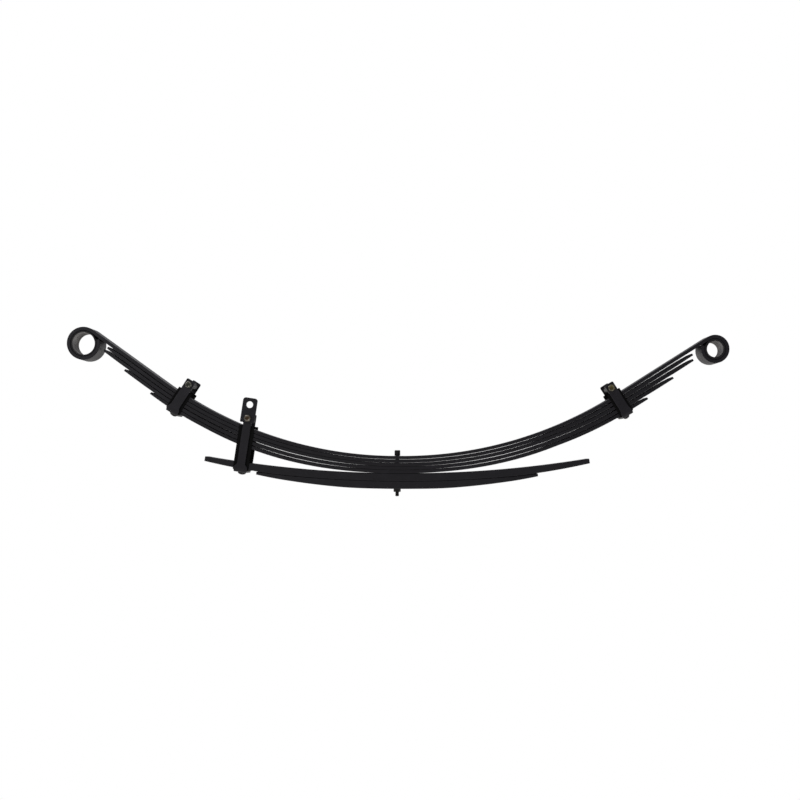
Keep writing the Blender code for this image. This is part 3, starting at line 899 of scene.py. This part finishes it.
for clip, body in CLIPS.items():
    strap = dress(make_strap(clip), clip + "_strap", body)
    liner = dress(make_liner(clip), clip + "_liner", body)
    print(clip, "strap faces:", len(strap.data.polygons), "liner faces:", len(liner.data.polygons))

# %% [markdown]
# ## Clip bolts, nuts, tubes and rivets
# The bolt crosses above the main leaf, inside a loose tube that the leaf may touch. The head has a turned
# chamfer and a washer face, the nut stands on the far side with two threads past it, and the tube is rolled
# from strip, so a thin seam runs along it. The rivet's head under the strap is hammered to a low dome.

# %% Clip hardware
BOLT_FINISHES = {"front_clip": GREEN_ZINC, "rear_clip": YELLOW_ZINC, "long_clip": BRONZED_ZINC}
HEAD_HEIGHT = 5.3 * MM
WASHER_FACE = 0.5 * MM
BOLT_TURN = math.radians(12)  # no bolt stops with its flats square to the strap
TUBE_BORE = 4.3 * MM
TUBE_SEAM = math.radians(4)
RIVET_SHANK = 4 * MM
RIVET_EDGE = 0.7 * MM  # the upright edge of a rivet's head


def make_clip_bolt(clip):
    place = places[clip] @ Matrix.Rotation(math.pi / 2, 4, "X") @ Matrix.Rotation(BOLT_TURN, 4, "Z")
    low, high = local_box(clip + "_bolt", places[clip])
    nut_low, _ = local_box(clip + "_nut", places[clip])
    head_top, end = -low.y, -high.y
    under = head_top - HEAD_HEIGHT
    rows = [(HALF_FLATS * 0.35, head_top - 0.5 * MM), (HALF_FLATS * 0.6, head_top - 0.4 * MM)]
    rows += [(HALF_FLATS * 0.72, head_top)] + hex_rows(HALF_FLATS, under + WASHER_FACE, head_top, both=False)
    rows += [(HALF_FLATS * 0.93, under + WASHER_FACE), (HALF_FLATS * 0.93, under)]
    rows += [(BOLT_RADIUS, under), (BOLT_RADIUS, -nut_low.y + 2 * MM)]
    marks = [0, 0.3, 0.8, 1, 0.7, 0.3, 0.3, 0.2, 0, 0]
    thread = thread_rows(BOLT_RADIUS, -nut_low.y, end + 1 * MM)
    rows += thread + [(BOLT_RADIUS - 1 * MM, end)]
    marks += [0.5] * (len(thread) + 1)
    return turned(clip + "_bolt_hex", place, rows, BOLT_FINISHES[clip], marks={"edge": marks})


def make_clip_nut(clip):
    place = places[clip] @ Matrix.Rotation(math.pi / 2, 4, "X")
    low, high = local_box(clip + "_nut", places[clip])
    rows = hex_rows(HALF_FLATS, -high.y, -low.y, BOLT_RADIUS + 0.1 * MM)
    marks = {"edge": [1, 0.6] * 4}
    return turned(clip + "_nut_hex", place, rows, BOLT_FINISHES[clip], closed=True, marks=marks)


def make_clip_tube(clip):
    """Rolled from strip: its outline is a C that just fails to close, drawn from end to end."""
    place = places[clip] @ Matrix.Rotation(math.pi / 2, 4, "X")
    _, high = local_box(clip + "_tube", places[clip])
    outer, inner, half = high.z, TUBE_BORE, high.y
    steps = 56
    angles = [TUBE_SEAM / 2 + (math.tau - TUBE_SEAM) * n / steps for n in range(steps + 1)]
    loops, marks = [], []
    for height, cut in ((-half, 0.5 * MM), (0.5 * MM - half, 0), (half - 0.5 * MM, 0), (half, 0.5 * MM)):
        ring = [(outer - cut, a) for a in angles] + [(inner + cut * 0.5, a) for a in angles[::-1]]
        loops.append([place @ Vector((r * math.cos(a), r * math.sin(a), height)) for r, a in ring])
        marks.append([1.0 if cut else 0.3] * len(ring))
    return loft(clip + "_tube_rolled", loops, DARK_STEEL, marks={"edge": marks})


def make_clip_rivet(clip):
    place = places[clip]
    low, high = local_box(clip + "_rivet", place)
    head = high.x
    shoulder = local_box(clip + "_strap", place)[0].z - 0.3 * MM
    rise = shoulder - low.z - RIVET_EDGE
    turns = [math.radians(a) for a in (88, 75, 60, 45, 30, 15, 0)]
    rows = [(head * math.cos(a), shoulder - RIVET_EDGE - rise * math.sin(a)) for a in turns]
    rows += [(head, shoulder - 0.2 * MM), (head - 0.3 * MM, shoulder)]
    rows += [(RIVET_SHANK, shoulder), (RIVET_SHANK, high.z)]
    marks = [0.3, 0.4, 0.3, 0.2, 0.2, 0.5, 1, 1, 0.5, 0, 0]
    return turned(clip + "_rivet_domed", place, rows, DARK_STEEL, marks={"edge": marks})


for clip, body in CLIPS.items():
    roller = clip + "_roller"
    dress(make_clip_bolt(clip), clip + "_bolt", body)
    dress(make_clip_nut(clip), clip + "_nut", body)
    dress(make_clip_tube(clip), clip + "_tube", roller)
    dress(make_clip_rivet(clip), clip + "_rivet", body)
    print(clip, "hardware done")

# %% [markdown]
# ## Cable bracket
# A plate with a rounded end and a hole carries a cable or hose clip. It is one more flat bar, standing on
# end, with its width drawn in round the corners of its upper end.


# %% Cable bracket
BRACKET_HOLE = 28.5 * MM  # above the clip's bolt
BRACKET_HOLE_RADIUS = 7 * MM
BRACKET_CORNER = 6 * MM
BRACKET_EDGE = 0.7 * MM


def make_bracket():
    place = places["long_clip"]
    low, high = local_box("cable_bracket", place)
    half = high.x
    rows = [(low.z, half - 1.5 * MM), (low.z + 0.5 * MM, half - 0.5 * MM), (low.z + 1.5 * MM, half)]
    rows += [(low.z + (high.z - BRACKET_CORNER - low.z) * n / 6, half) for n in range(1, 6)]
    rows += rounded_end(high.z, half, BRACKET_CORNER)[::-1]
    along = place.col[0].to_3d()
    loops, marks = [], []
    for height, width in rows:
        ends = [place @ Vector((0, y, height)) for y in (low.y, high.y)]
        points, edge = bar_outline(*ends, along, width, BRACKET_EDGE)
        loops.append(points)
        marks.append(edge)
    plate = loft("cable_bracket_plate", loops, CLIP_PAINT, marks={"edge": marks})
    sideways = Matrix.Rotation(math.pi / 2, 4, "X")
    raised = Matrix.Translation((0, 0, BRACKET_HOLE))
    drill(plate, place @ sideways, HOLE_RADIUS, THROUGH)
    drill(plate, place @ raised @ sideways, BRACKET_HOLE_RADIUS, THROUGH, 64)
    return dress(plate, "cable_bracket", "centre_pack")


print("bracket faces:", len(make_bracket().data.polygons))

# %% [markdown]
# ## Baking the half leaves
# Each half leaf's place is baked into its mesh, and its object is left at the origin.

# %% Bake the main leaves' places
for (node, side), half in halves.items():
    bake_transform(half)
print("blended:", len(halves))
